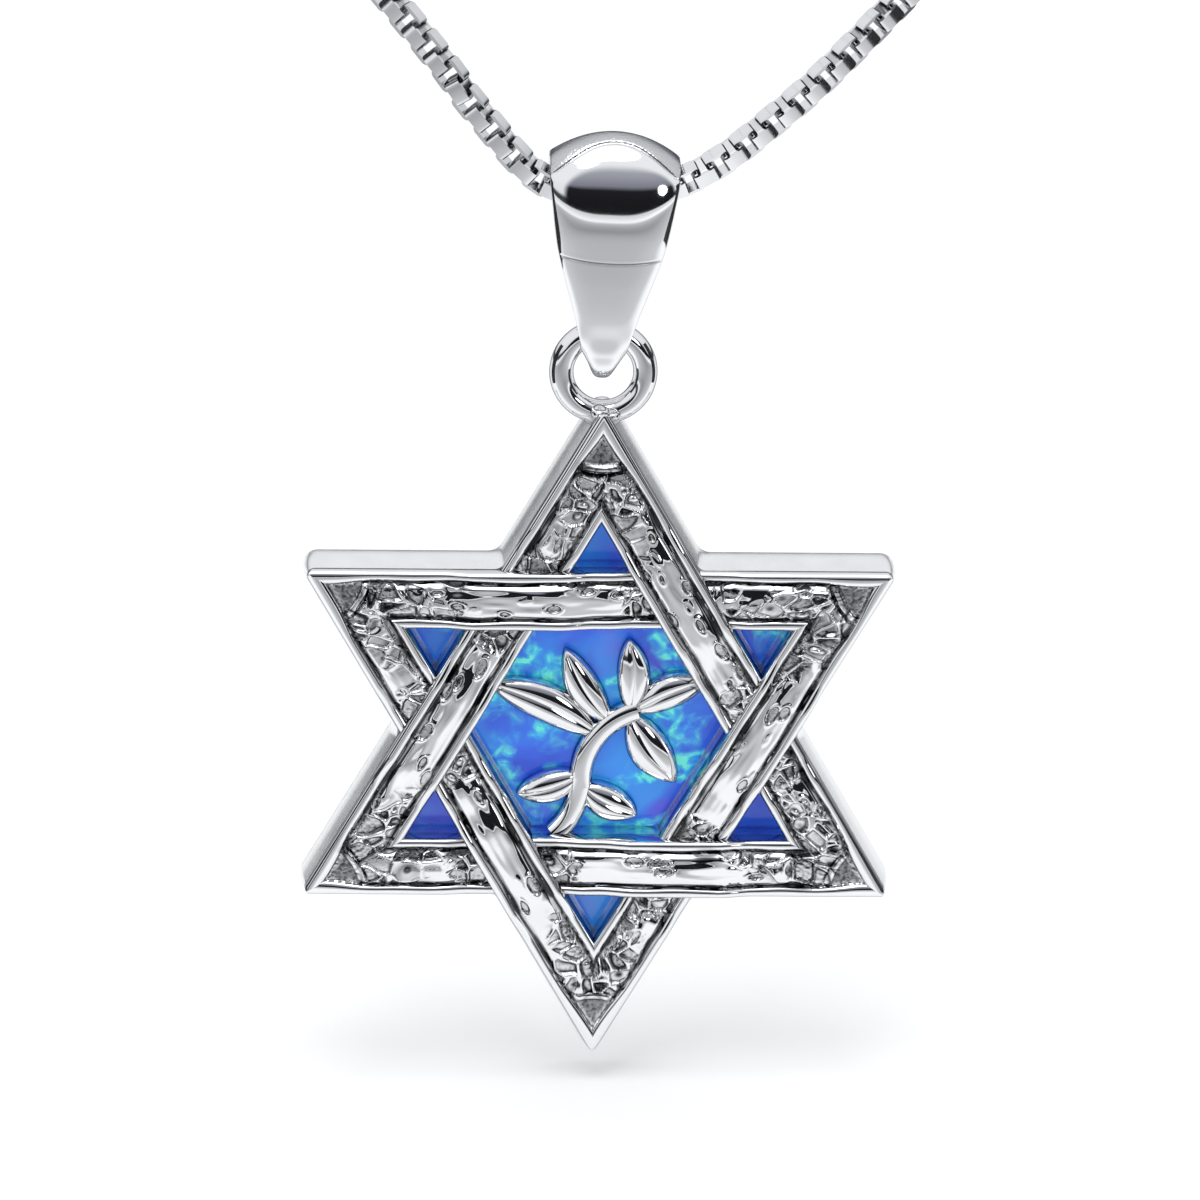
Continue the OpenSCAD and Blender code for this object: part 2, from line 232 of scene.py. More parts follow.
def ramp(tree, source, stops):
    """The colour between the stops that the source picks."""
    made = node(tree, "ShaderNodeValToRGB")
    elements = made.color_ramp.elements
    while len(elements) < len(stops):
        elements.new(0.5)
    for element, (place, colour) in zip(elements, stops):
        element.position = place
        element.color = (*colour, 1.0)
    tree.links.new(source, made.inputs["Fac"])
    return made.outputs["Color"]


def spread(tree, source, low, high):
    """Runs from low to high as the source runs from 0 to 1."""
    made = node(tree, "ShaderNodeMapRange")
    made.inputs["To Min"].default_value = low
    made.inputs["To Max"].default_value = high
    tree.links.new(source, made.inputs["Value"])
    return made.outputs["Result"]


def fade(tree, source, start, end, kind="LINEAR"):
    """Runs from 0 to 1 as the source runs from start to end."""
    made = node(tree, "ShaderNodeMapRange", interpolation_type=kind)
    made.inputs["From Min"].default_value = start
    made.inputs["From Max"].default_value = end
    tree.links.new(source, made.inputs["Value"])
    return made.outputs["Result"]


def product(tree, first, second):
    made = node(tree, "ShaderNodeMath", operation="MULTIPLY")
    tree.links.new(first, made.inputs[0])
    tree.links.new(second, made.inputs[1])
    return made.outputs["Value"]


def blend_colours(tree, share, first, second):
    """From the first colour to the second; each is a socket or a constant."""
    mix = node(tree, "ShaderNodeMix", data_type="RGBA", blend_type="MIX")
    tree.links.new(share, mix.inputs[MIX_SHARE])
    for place, colour in ((MIX_FIRST, first), (MIX_SECOND, second)):
        if isinstance(colour, tuple):
            mix.inputs[place].default_value = (*colour, 1.0)
        else:
            tree.links.new(colour, mix.inputs[place])
    return mix.outputs[MIX_RESULT]


def bump(tree, shader, source, strength, distance):
    made = node(tree, "ShaderNodeBump")
    made.inputs["Strength"].default_value = strength
    made.inputs["Distance"].default_value = distance
    tree.links.new(source, made.inputs["Height"])
    tree.links.new(made.outputs["Normal"], shader.inputs["Normal"])


def mottle(tree, shader, source, dull, bright):
    """Lets the base colour drift between two near tones."""
    tree.links.new(ramp(tree, source, [(0.3, dull), (0.7, bright)]), shader.inputs["Base Color"])


def polished_silver(name, base, rough_low, rough_high):
    mat, tree, shader = new_material(name)
    shader.inputs["Metallic"].default_value = 1.0
    shader.inputs["Specular Tint"].default_value = EDGE_SHADE_TINT
    patches = object_noise(tree, 420.0)
    mottle(tree, shader, patches, [c * 0.95 for c in base], base)
    tree.links.new(spread(tree, patches, rough_low, rough_high), shader.inputs["Roughness"])
    return mat


def cast_silver(name):
    """Polished on the heights and sandblasted where sunk is high, with a darker tone there that is
    partly painted shade; painted shade turns it near black in creases, pits and beside rims.
    """
    mat, tree, shader = new_material(name)
    shader.inputs["Metallic"].default_value = 1.0
    shader.inputs["Specular Tint"].default_value = EDGE_SHADE_TINT
    sunk = node(tree, "ShaderNodeAttribute", attribute_name="sunk").outputs["Fac"]
    painted_shade = node(tree, "ShaderNodeAttribute", attribute_name="painted_shade").outputs["Fac"]
    # Darker where sunk: the sandblasted and satin finish is real, and part of this darker tone is
    # painted shade in the recesses
    tone = ramp(tree, sunk, [(0.0, SILVER), (0.5, (0.58, 0.585, 0.60)), (1.0, (0.31, 0.315, 0.33))])
    # Painted shade: near black in the dark lines of creases, dents, pits and rims
    tree.links.new(blend_colours(tree, painted_shade, tone, SHADE_BLACK), shader.inputs["Base Color"])
    tree.links.new(spread(tree, sunk, low=0.06, high=0.30), shader.inputs["Roughness"])
    grit = product(tree, object_noise(tree, 9000.0, 2.0), sunk)
    bump(tree, shader, grit, strength=0.6, distance=0.00008)
    return mat


def satin_silver(name):
    mat, tree, shader = new_material(name)
    shader.inputs["Metallic"].default_value = 1.0
    patches = object_noise(tree, 900.0)
    mottle(tree, shader, patches, (0.82, 0.825, 0.835), (0.88, 0.885, 0.895))
    tree.links.new(spread(tree, patches, low=0.2, high=0.3), shader.inputs["Roughness"])
    bump(tree, shader, object_noise(tree, 7000.0, 2.0), strength=0.12, distance=0.00003)
    return mat


def opal(name, scale, shift):
    """Clear blue with drifting turquoise and green flashes and a little violet."""
    mat, tree, shader = new_material(name)
    place = node(tree, "ShaderNodeTexCoord")
    mapping = node(tree, "ShaderNodeMapping")
    mapping.inputs["Location"].default_value = shift
    tree.links.new(place.outputs["Object"], mapping.inputs["Vector"])
    vector = mapping.outputs["Vector"]
    depth = ramp(tree, noise_at(tree, vector, scale * 0.8, 3.0, 0.4), [
        (0.36, (0.020, 0.075, 0.62)), (0.50, (0.028, 0.13, 0.76)), (0.64, (0.030, 0.27, 0.84))])
    fine = noise_at(tree, vector, scale * 5.0, 5.0, 0.7)
    flash = ramp(tree, fine, [
        (0.36, (0.02, 0.28, 0.86)), (0.50, (0.04, 0.56, 0.86)), (0.62, (0.15, 0.88, 0.72))])
    patch = ramp(tree, noise_at(tree, vector, scale, 4.0, 0.9), [(0.48, BLACK), (0.59, WHITE)])
    glint = ramp(tree, fine, [(0.38, (0.30, 0.30, 0.30)), (0.58, WHITE)])
    colour = blend_colours(tree, product(tree, patch, glint), depth, flash)
    haze = noise_at(tree, vector, scale * 0.9, 2.0, 0.3)
    violet = ramp(tree, haze, [(0.30, (0.5, 0.5, 0.5)), (0.42, BLACK)])
    colour = blend_colours(tree, violet, colour, (0.17, 0.05, 0.66))
    tree.links.new(colour, shader.inputs["Base Color"])
    # Painted light: the stone glows a little in its own colour, though it is no lamp
    tree.links.new(colour, shader.inputs["Emission Color"])
    shader.inputs["Emission Strength"].default_value = 0.30
    shader.inputs["Roughness"].default_value = 0.18
    shader.inputs["Coat Weight"].default_value = 0.6
    shader.inputs["Coat Roughness"].default_value = 0.04
    return mat


BAR_METAL = cast_silver("cast_silver")
WALL_METAL = satin_silver("satin_silver")
BRIGHT_METAL = polished_silver("bright_silver", SILVER, rough_low=0.03, rough_high=0.07)
CHAIN_METAL = polished_silver("chain_silver", (0.84, 0.845, 0.855), rough_low=0.08, rough_high=0.16)
OPAL_CENTRE = opal("opal_centre", scale=290.0, shift=(0.0106, 0.0, -0.0136))
OPAL_POINT = opal("opal_point", scale=200.0, shift=(0.011, 0.0, 0.004))


# Making pieces


def finish_piece(name, bm, place, material, body, stands_for, flat_angle=None):
    """Places the shape and makes it a piece, smooth but for edges over flat_angle degrees."""
    bmesh.ops.transform(bm, matrix=TO_METRES @ place, verts=bm.verts)
    mesh = bpy.data.meshes.new(name)
    bm.to_mesh(mesh)
    bm.free()
    for face in mesh.polygons:
        face.use_smooth = True
    if flat_angle is not None:
        mesh.set_sharp_from_angle(angle=math.radians(flat_angle))
    mesh.materials.append(material)
    piece = bpy.data.objects.new(name, mesh)
    bpy.context.collection.objects.link(piece)
    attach(piece, body)
    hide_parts(*stands_for)


def close_below(bm, z):
    """Walls from a sheet's free edge down to a flat, closed underside."""
    rim = [e for e in bm.edges if e.is_boundary]
    made = bmesh.ops.extrude_edge_only(bm, edges=rim)["geom"]
    for vert in (g for g in made if isinstance(g, bmesh.types.BMVert)):
        vert.co.z = z
    rim = [e for e in bm.edges if e.is_boundary]
    bmesh.ops.contextual_create(bm, geom=rim)
    bmesh.ops.recalc_face_normals(bm, faces=bm.faces)


# The star's bars


TIP_WAYS = [(math.cos(math.radians(a)), math.sin(math.radians(a))) for a in range(30, 390, 60)]


def tip_distance(x, y):
    """How far a place in the star's plane lies from the nearest sharp point of the star."""
    return min(math.hypot(x - STAR_R * c, y - STAR_R * s) for c, s in TIP_WAYS)


def rounded_tip(x, y):
    """Draws a place in past the rounding of the star's points."""
    centre = STAR_R - 2 * TIP_R
    for c, s in TIP_WAYS:
        along = x * c + y * s
        off = -x * s + y * c
        if along > centre + TIP_R * 0.5 and abs(off) < TIP_R:
            far = math.hypot(along - centre, off)
            if far > TIP_R:
                along, off = centre + (along - centre) * TIP_R / far, off * TIP_R / far
                return along * c - off * s, along * s + off * c
    return x, y


def over(u):
    """1 where a bar passes over its neighbour."""
    return 1 - smoothstep(*OVER_REACH, abs(u + CROSS_X))


def under(u):
    """1 where a bar passes under its neighbour."""
    return 1 - smoothstep(*UNDER_REACH, abs(u - CROSS_X))


def half_length(v):
    """Half of a bar's length on the line at v across it, from mitre to mitre."""
    return BAR_LEN / 2 - (BAR_W / 2 - v) * math.sqrt(3)


def ripple(x, y, cell, seed):
    """Smooth noise, with waves as long and wide as the cell."""
    return noise.noise(Vector((x / cell[0], y / cell[1], seed)))


def wave(u, length, seed, side=0.0):
    """Smooth noise along a bar."""
    return noise.noise(Vector((u / length, seed, side)))


def cells(x, y, seed):
    """Distance to the nearest cell's heart, to its edge, and the cell's own steady share."""
    dist, hearts = noise.voronoi(Vector((x, y, seed)))
    heart = hearts[0]
    share = noise.cell(Vector((heart.x * 7.3, heart.y * 5.1, seed))) * 0.5 + 0.5
    return dist[0], dist[1] - dist[0], share


def hammered(u, v, k):
    """Long, shallow dents with small bright rims, as of a round punch: height, sunk, and a ring of
    painted shade just inside each dent's edge.
    """
    drift = DENT_DRIFT * ripple(u, v, DENT_DRIFT_CELL, 5.0 + k)
    long, wide = DENT_CELL
    near, _, share = cells((u + drift) / long, (v + drift * 0.6) / wide, 11.0 + k * 3.7)
    height, sunk, painted_shade = 0.0, 0.0, 0.0
    if share > DENT_LEAST:
        reach = DENT_R + DENT_R_MORE * share
        height -= DENT_DEPTH * (1 - smoothstep(reach - DENT_SLOPE, reach, near))
        height += DENT_LIP * bell(near, reach + DENT_LIP_W, DENT_LIP_W)
        sunk = 0.4 * (1 - smoothstep(reach - 0.12, reach - 0.04, near))
        # Painted shade: a dark ring just inside the dent's edge
        painted_shade = DENT_SHADE * bell(near, reach - 0.045, 0.05)
    height += SWELL_H * ripple(u, v, SWELL_CELL, k * 2.1)
    height += STREAK_H * ripple(u, v, STREAK_CELL, 30 + k)
    return height, sunk, painted_shade


def stipple(x, y):
    """Fine punched grain: height, and painted shade in its pits."""
    grain = ripple(x, y, GRAIN_CELL, 6.0)
    return GRAIN_H * grain, PIT_SHADE * smoothstep(0.05, 0.35, -grain)


def filigree(x, y):
    """Small sunk cells and pebbles between fine raised lines: height, sunk, and painted shade beside
    the lines, round the pebbles and in the pits.
    """
    wander = Vector((x, y, 4.0))
    x2 = x + LACE_DRIFT * noise.noise(wander)
    y2 = y + LACE_DRIFT * noise.noise(wander + Vector((7, 3, 1)))
    near, edge, share = cells(x2 / LACE_CELL[0], y2 / LACE_CELL[1], 2.0)
    line = 1 - smoothstep(*LACE_LINE, edge)
    # Painted shade: a dark line beside each raised line's foot
    painted_shade = bell(edge, LACE_LINE[1] + 0.01, SHADE_LINE_W)
    if share > PEBBLE_LEAST:
        dome = 1 - smoothstep(PEBBLE_TOP, PEBBLE_R, near)
        # Painted shade round the pebble
        painted_shade = max(painted_shade * 0.6, bell(near, PEBBLE_R, SHADE_LINE_W))
        height = PEBBLE_LINE_H * line - LACE_BED * (1 - line) + PEBBLE_H * dome
        return height, 0.2 * (1 - line) * (1 - dome), painted_shade
    grain, pits = stipple(x, y)
    painted_shade = max(painted_shade, 0.6 * pits * (1 - line))
    height = LACE_LINE_H * line + (0.4 * grain - LACE_BED - LACE_BED_MORE * share) * (1 - line)
    return height, (1 - line) * (0.2 + 0.8 * share), painted_shade


def painted_rim_shade(u, v, k, past_rim):
    """Painted shade: a dark line beside a rim, which swells and thins and is broader on a bar's upper
    side.
    """
    broad = RIM_LINE_ABOVE if v * math.cos(math.radians(60 * k)) > 0 else RIM_LINE_BELOW
    swell = wave(u, RIM_LINE_WAVE, 21.0 + k, math.copysign(4.0, v))
    width = RIM_LINE_W + broad * max(0.0, 0.06 + swell)
    return RIM_SHADE * bell(past_rim, width * 0.5, width)


def bar_height(u, v, x, y, k):
    """Bar k's height above its seat, sunk and painted shade; u runs along it and v across it."""
    half = BAR_W / 2
    edge = half - abs(v)
    tip = tip_distance(x, y)
    sway = RIM_SWAY * wave(u, RIM_WAVE, 3.0 + k)
    rim_w = RIM_W * (1 + sway + 0.35 * (1 - smoothstep(1.2, 3.6, tip)))
    bead = RIM_H * half_round((edge - rim_w / 2) / (rim_w / 2))
    body_share = smoothstep(rim_w * 0.75, rim_w + 0.28, edge)
    crown = CROWN_SHOWN * (1 - (v / half) ** 2) * (0.9 + CROWN_SWAY * wave(u, CROWN_WAVE, 9.0 + k))

    lace = max(1 - smoothstep(*LACE_REACH, half_length(v) - abs(u)), smoothstep(0.25, 0.75, under(u)))
    plain_h, plain_sunk, plain_painted_shade = hammered(u, v, k)
    lace_h, lace_sunk, lace_painted_shade = filigree(x, y)
    body = (crown + lerp(plain_h, lace_h, lace)) * body_share
    sunk = lerp(plain_sunk, lace_sunk, lace) * body_share
    painted_shade = lerp(plain_painted_shade, lace_painted_shade, lace) * body_share
    # Painted shade beside the rims
    painted_shade = max(painted_shade, painted_rim_shade(u, v, k, edge - rim_w * 1.02))

    if tip < RECESS_R + RECESS_BAND_W:
        inside = 1 - smoothstep(RECESS_R - RECESS_EDGE, RECESS_R + RECESS_EDGE, tip)
        band = RECESS_BAND_H * half_round((tip - RECESS_R) / (RECESS_BAND_W / 2) - 1)
        grain, pits = stipple(x, y)
        body = lerp(max(band, 0.02), grain, inside) * body_share
        sunk = inside * body_share
        # Painted shade: a dark line along the recess's edge, and in its pits
        recess_edge_shade = RECESS_EDGE_SHADE * bell(tip, RECESS_R, SHADE_LINE_W)
        painted_shade = max(painted_shade * (1 - inside), max(recess_edge_shade, pits * inside) * body_share)
    height = max(bead, body) if edge < rim_w else body
    return height + WEAVE_LIFT * over(u) - WEAVE_SINK * under(u), sunk, painted_shade


def bar(k):
    """One of the six woven bars, from mitre to mitre."""
    along, across = ((560, 62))
    bm = bmesh.new()
    bmesh.ops.create_grid(bm, x_segments=along, y_segments=across, size=1)
    half = BAR_W / 2
    spin = turn(60 * k, "Z")
    sunk_of = bm.verts.layers.float.new("sunk")
    painted_shade_of = bm.verts.layers.float.new("painted_shade")
    for vert in bm.verts:
        v = vert.co.y * half
        u = vert.co.x * half_length(v)
        place = spin @ Vector((u, EDGE_Y - half + v, 0))
        height, sunk, painted_shade = bar_height(u, v, place.x, place.y, k)
        x, y = rounded_tip(place.x, place.y)
        vert.co = (x, y, Z_WALL + height)
        vert[sunk_of] = sunk
        vert[painted_shade_of] = painted_shade
    close_below(bm, Z_WALL - BAR_FOOT)
    finish_piece(f"bar_{k + 1}", bm, STAR_PLACE, BAR_METAL, "star", ["star_frame"],
                 flat_angle=60)


# The star's block: outer wall, windows and closed back


def corner_arc(point, before, after, radius, steps):
    """Points round a corner between its neighbours."""
    a, b = (before - point).normalized(), (after - point).normalized()
    half = math.acos(a.dot(b)) / 2
    centre = point + (a + b).normalized() * radius / math.sin(half)
    start = point + a * radius / math.tan(half) - centre
    end = point + b * radius / math.tan(half) - centre
    return [centre + radius * start.lerp(end, s / steps).normalized() for s in range(steps + 1)]


def star_outline(out, tip, notch, steps=8):
    """The star's outline with rounded points and notches, moved out by that much."""
    point_r = STAR_R + 2 * out
    corners = []
    for i in range(12):
        reach = point_r if i % 2 == 0 else point_r / math.sqrt(3)
        angle = math.radians(90 + 30 * i)
        corners.append(Vector((reach * math.cos(angle), reach * math.sin(angle))))
    points = []
    for i, corner in enumerate(corners):
        radius = tip if i % 2 == 0 else notch
        points += corner_arc(corner, corners[i - 1], corners[(i + 1) % 12], radius, steps)
    return points


def loop(bm, points, z):
    """Edges round a closed outline at one height."""
    verts = [bm.verts.new((p[0], p[1], z)) for p in points]
    return [bm.edges.new((verts[i - 1], verts[i])) for i in range(len(verts))]


def windows():
    """Outlines of the seven windows, which stand a hair behind the bars' own inner walls."""
    reach = (INNER_Y + SEAM) * 2 / math.sqrt(3)
    centre = [Vector((reach * math.cos(math.radians(60 * i)), reach * math.sin(math.radians(60 * i))))
              for i in range(6)]
    low, high = EDGE_Y - SEAM, 2 * INNER_Y + 2 * SEAM
    half = (high - low) * math.tan(math.radians(30))
    point = [Vector((-half, low)), Vector((half, low)), Vector((0, high))]
    shapes = [centre]
    for k in range(6):
        spin = Matrix.Rotation(math.radians(60 * k), 2)
        shapes.append([spin @ p for p in point])
    return shapes


def star_block():
    """The block below the bars, with a seat for each stone."""
    bm = bmesh.new()
    top_z = Z_WALL - WEAVE_SINK
    # Height of each ring of the wall, and how far out the wall stands there
    levels = [
        (top_z, FLARE * WEAVE_SINK / FLARE_D),
        (Z_WALL - FLARE_D * 0.6, FLARE * 0.72),
        (Z_WALL - FLARE_D, FLARE),
        (Z_BACK + FLARE, FLARE),
        (Z_BACK + FLARE * 0.3, FLARE * 0.8),
        (Z_BACK, FLARE * 0.45),
    ]
    rings = []
    for z, out in levels:
        share = out / FLARE
        rings.append(loop(bm, star_outline(out, lerp(TIP_R, BACK_TIP_R, share), NOTCH_R + out), z))
    for upper, lower in zip(rings, rings[1:]):
        bmesh.ops.bridge_loops(bm, edges=upper + lower)
    bmesh.ops.triangle_fill(bm, use_beauty=True, edges=rings[-1])
    mouths = []
    for shape in windows():
        mouth = loop(bm, shape, top_z)
        seat = loop(bm, shape, Z_SEAT)
        bmesh.ops.bridge_loops(bm, edges=mouth + seat)
        bmesh.ops.contextual_create(bm, geom=seat)
        mouths += mouth
    bmesh.ops.triangle_fill(bm, use_beauty=True, edges=rings[0] + mouths)
    bmesh.ops.recalc_face_normals(bm, faces=bm.faces)
    finish_piece("star_walls", bm, STAR_PLACE, WALL_METAL, "star", ["star_frame"],
                 flat_angle=30)


# The sprig


LEAVES = [  # base x, base y, end x, end y, breadth, as shares of the window's half height
    (0.02, -0.07, -0.98, 0.42, 1.00),
    (0.12, 0.04, -0.30, 0.74, 0.85),
    (0.30, 0.14, 0.28, 0.84, 0.85),
    (0.33, 0.16, 0.99, 0.46, 0.90),
    (0.30, 0.13, 0.72, -0.52, 1.05),
    (-0.14, -0.45, -0.72, -0.64, 0.85),
    (-0.14, -0.55, 0.38, -0.84, 0.90),
]
STEM_BENDS = [  # centre x, centre y and radius as such shares, start and turn in degrees
    (0.56, -0.50, 0.70, 106, 79),
    (-0.84, -0.50, 0.70, -48, 51),
]
LEAF_DOME = (0.42, 0.5)
LEAF_RIB = 0.10
LEAF_RIB_W = 0.13
LEAF_BOW = 0.05
STEM_DOME = (0.38, 0.46)
STEM_ARC_STEPS = 12
STEM_RUN_STEPS = 28


def leaf(bm_all, row, index):
    """A domed leaf that bows to one side, with a sunk rib along its middle."""
    base = Vector(row[0:2]) * INNER_Y
    end = Vector(row[2:4]) * INNER_Y
    length = (end - base).length
    half = LEAF_W * row[4] / 2
    bm = bmesh.new()
    bmesh.ops.create_grid(bm, x_segments=36, y_segments=16, size=1)
    for vert in bm.verts:
        s, t = (vert.co.x + 1) / 2, vert.co.y
        width = half * (max(0.0, 1 - (2 * s - 1) ** 2) ** 0.8 + 0.02)
        bow = LEAF_BOW * length * math.sin(math.pi * s) * (1 if index % 2 else -1)
        swell = max(0.0, math.sin(math.pi * min(1.0, max(0.0, s)))) ** 0.5
        dome = LEAF_DOME[0] + LEAF_DOME[1] * swell * (1 - t * t) ** 0.5
        rib = LEAF_RIB * bell(t, 0, LEAF_RIB_W) * swell
        vert.co = (s * length, t * width + bow, Z_SPRIG + SPRIG_T * (dome - rib))
    close_below(bm, Z_SPRIG)
    angle = math.degrees(math.atan2(end.y - base.y, end.x - base.x))
    bmesh.ops.transform(bm, matrix=move(base.x, base.y, 0) @ turn(angle, "Z"), verts=bm.verts)
    gather(bm_all, bm)


def gather(bm_all, bm):
    """Adds one shape to another."""
    mesh = bpy.data.meshes.new("part")
    bm.to_mesh(mesh)
    bm.free()
    bm_all.from_mesh(mesh)
    bpy.data.meshes.remove(mesh)


def stem(bm_all, row):
    """A thin round-topped stem that follows a part of a circle."""
    bm = bmesh.new()
    radius = row[2] * INNER_Y
    arch = []
    for i in range(STEM_ARC_STEPS + 1):
        a = math.pi * i / STEM_ARC_STEPS
        rise = STEM_DOME[0] + STEM_DOME[1] * math.sin(a) ** 0.8
        arch.append((radius - math.cos(a) * STEM_W / 2, SPRIG_T * rise))
    section = [(radius + STEM_W / 2, 0)] + arch[::-1] + [(radius - STEM_W / 2, 0)]
    verts = [bm.verts.new((x, 0, Z_SPRIG + z)) for x, z in section]
    edges = [bm.edges.new((verts[i - 1], verts[i])) for i in range(len(verts))]
    first = bmesh.ops.contextual_create(bm, geom=edges)["faces"]
    bmesh.ops.spin(bm, geom=first + edges + verts, cent=(0, 0, 0), axis=(0, 0, 1),
                   angle=math.radians(row[4]), steps=STEM_RUN_STEPS, use_merge=False)
    inner = [f for f in bm.faces if all(len(e.link_faces) > 2 for e in f.edges)]
    bmesh.ops.delete(bm, geom=inner, context="FACES_ONLY")
    place = move(row[0] * INNER_Y, row[1] * INNER_Y, 0) @ turn(row[3], "Z")
    bmesh.ops.transform(bm, matrix=place, verts=bm.verts)
    bmesh.ops.recalc_face_normals(bm, faces=bm.faces)
    gather(bm_all, bm)


def sprig():
    bm = bmesh.new()
    for index, row in enumerate(LEAVES):
        leaf(bm, row, index)
    for row in STEM_BENDS:
        stem(bm, row)
    finish_piece("sprig", bm, STAR_PLACE, BRIGHT_METAL, "star", ["star_frame"],
                 flat_angle=50)


# The ring


DROPS = ((-0.16, 0.36), (0.42, 0.30))  # how far to the side, and radius, of each drop of solder
DROP_SHAPE = (1, 0.8, 1.5)


def ring():
    """The soldered ring on the star's top point."""
    bm = bmesh.new()
    bmesh.ops.create_circle(bm, cap_ends=False, segments=28, radius=RING_WIRE / 2)
    bmesh.ops.transform(bm, matrix=move(RING_R, 0, 0) @ turn(90, "X"), verts=bm.verts)
    bmesh.ops.spin(bm, geom=bm.verts[:] + bm.edges[:], cent=(0, 0, 0), axis=(0, 0, 1),
                   angle=math.tau, steps=96, use_merge=True)
    bmesh.ops.remove_doubles(bm, verts=bm.verts, dist=0.0005)
    bmesh.ops.recalc_face_normals(bm, faces=bm.faces)
    bmesh.ops.transform(bm, matrix=move(0, RING_Z - STAR_Z, 0), verts=bm.verts)
    apex = STAR_R - TIP_R
    for side, size in DROPS:
        drop = bmesh.new()
        bmesh.ops.create_uvsphere(drop, u_segments=24, v_segments=16, radius=size)
        bmesh.ops.scale(drop, vec=DROP_SHAPE, verts=drop.verts)
        place = (side, apex - 0.05 - abs(side) * 0.4, Z_WALL * 0.45)
        bmesh.ops.translate(drop, vec=place, verts=drop.verts)
        gather(bm, drop)
    finish_piece("ring", bm, STAR_PLACE, BRIGHT_METAL, "star", ["star_frame"])


# The bail


BAIL_ROWS = [  # the edges' depth, height and half width as shares, the crown's depth and height in mm
    (-0.88, 0.005, 0.39, -1.42, -6.30), (-0.98, 0.150, 0.50, -1.69, -5.31),
    (-1.06, 0.320, 0.65, -1.90, -4.06), (-1.10, 0.450, 0.76, -2.01, -3.10),
    (-1.12, 0.560, 0.84, -2.08, -2.25), (-1.13, 0.680, 0.90, -2.12, -1.45),
    (-1.09, 0.800, 0.95, -2.04, -0.65), (-0.96, 0.890, 0.99, -1.87, 0.10),
    (-0.77, 0.950, 1.00, -1.60, 0.75), (-0.53, 0.985, 1.00, -1.20, 1.36),
    (-0.26, 1.000, 1.00, -0.66, 1.86), (0.03, 1.000, 1.00, 0.00, 2.08),
    (0.30, 1.000, 1.00, 0.62, 1.94), (0.66, 0.975, 1.00, 1.28, 1.46),
    (0.88, 0.890, 0.99, 1.80, 0.60), (0.96, 0.760, 0.94, 1.98, -0.60),
    (0.94, 0.600, 0.82, 1.90, -1.95), (0.90, 0.420, 0.69, 1.72, -3.30),
    (0.85, 0.200, 0.49, 1.53, -4.94), (0.78, 0.020, 0.34, 1.38, -6.27),
]
FOOT_ROWS = [  # angle round the eye, from the back to the front, and half width in mm
    (30, 0.70), (60, 0.59), (90, 0.55), (120, 0.64), (150, 0.92),
]
# The eye is this much longer towards the front and the back
EYE_PLAY = 0.1
# Places along the band, and bends of them, counted in rows from its front foot
CREASE_AT = 3.5
COLLAR_AT = 7.4
COLLAR_END = 13.0
SATIN_END = (11, 12)
DOME_AT = (8.0, 11.0, 14.0, 16.0)
COLLAR_ARCH = 2.4
CREASE_SAG = 0.22
# Heights in millimetres
BULGE = 0.05
GROOVE = 0.06
# How satin the collar is, which also makes it darker as painted shade, and how dark the painted shade
# along the fold is
COLLAR_SATIN_AND_SHADE = 0.5
CREASE_SHADE = 0.6
# How round the band's edges are, and how full it is in front and at the dome
EDGE_POWERS = (3.3, 0.22)
FRONT_POWER = 3.2
DOME_POWER = 2.0
# Mesh steps for each row, and round the section
BAIL_ALONG = 16
BAIL_ACROSS = 160


def bail_stations():
    """Rows of the band in mm: the edges' place and half width, the crown's place and the wall."""
    side_top = CHAIN_DROP - BAIL_DOME - BAIL_EDGE / 2
    rows = []
    for depth, height, half, crown_y, crown_z in BAIL_ROWS:
        edge_y = depth * (BAIL_D - BAIL_EDGE) / 2
        edge_z = lerp(EYE_Z, side_top, height)
        rows.append((edge_y, edge_z, half * BAIL_W / 2, crown_y, crown_z, BAIL_WALL))
    for angle, half in FOOT_ROWS:
        c, s = math.cos(math.radians(angle)), math.sin(math.radians(angle))
        thick = lerp(BAIL_WALL, BAIL_FOOT, s * s)
        reach = EYE_R + thick / 2
        outer = reach + thick / 2
        rows.append((c * (reach + EYE_PLAY), EYE_Z - s * reach, half,
                     c * (outer + EYE_PLAY), EYE_Z - s * outer, thick))
    return rows


def smooth_row(rows, place, closed=True):
    """The row at a place along a smooth run through the rows."""
    n = len(rows)
    i = int(math.floor(place))
    t = place - i
    pick = (lambda j: rows[j % n]) if closed else (lambda j: rows[min(n - 1, max(0, j))])
    p, q, r, s = (pick(i + d) for d in (-1, 0, 1, 2))
    return [0.5 * (2 * b + (c - a) * t + (2 * a - 5 * b + 4 * c - d) * t ** 2
                   + (3 * b - a - 3 * c + d) * t ** 3) for a, b, c, d in zip(p, q, r, s)]


